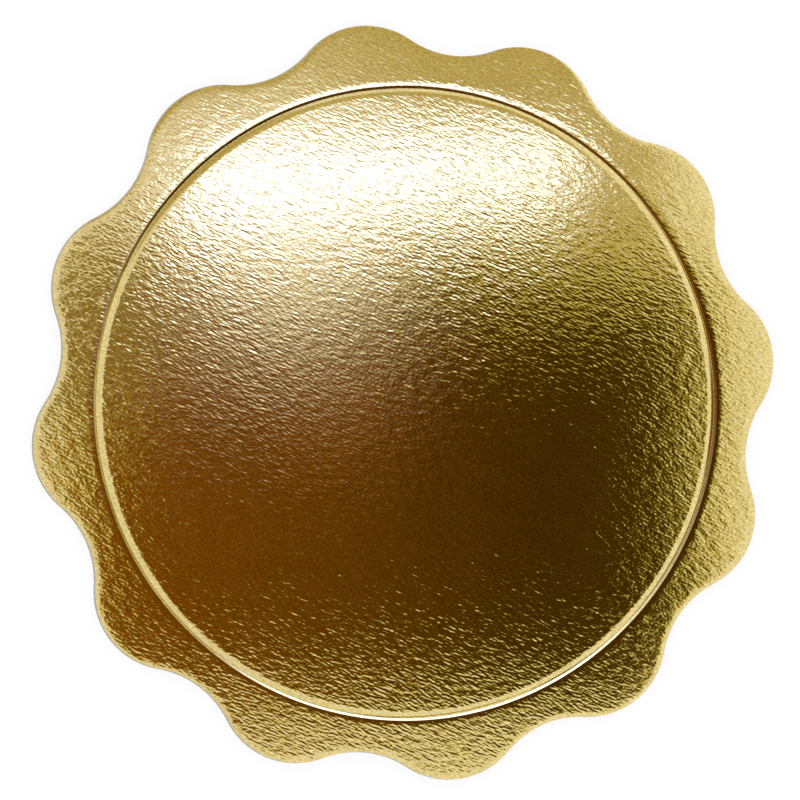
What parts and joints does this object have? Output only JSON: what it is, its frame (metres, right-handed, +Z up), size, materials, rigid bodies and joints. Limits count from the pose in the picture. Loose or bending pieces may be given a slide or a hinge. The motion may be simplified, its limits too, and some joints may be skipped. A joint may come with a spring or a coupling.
{
  "type": "cake board",
  "caption": "Flat round cake board with a scalloped edge: gold foil paper on pasted grey board with a white paper back, and a pressed ring that frames the cake.",
  "frame": {"origin": "middle of the underside, where the board rests", "axes": "+Z up out of the gold face, +X through the tip of a scallop"},
  "size_m": [0.3, 0.3, 0.003],
  "materials": {
    "gold_foil_paper": "bright gold metallised foil with a fine streaky grain",
    "grey_board": "raw fibrous cut edge",
    "white_paper": "matt uncoated paper"
  },
  "bodies": {
    "root": {"gold_face": "gold_foil_paper", "upper_ply": "grey_board", "middle_ply": "grey_board", "lower_ply": "grey_board", "back_liner": "white_paper"}
  },
  "joints": []
}
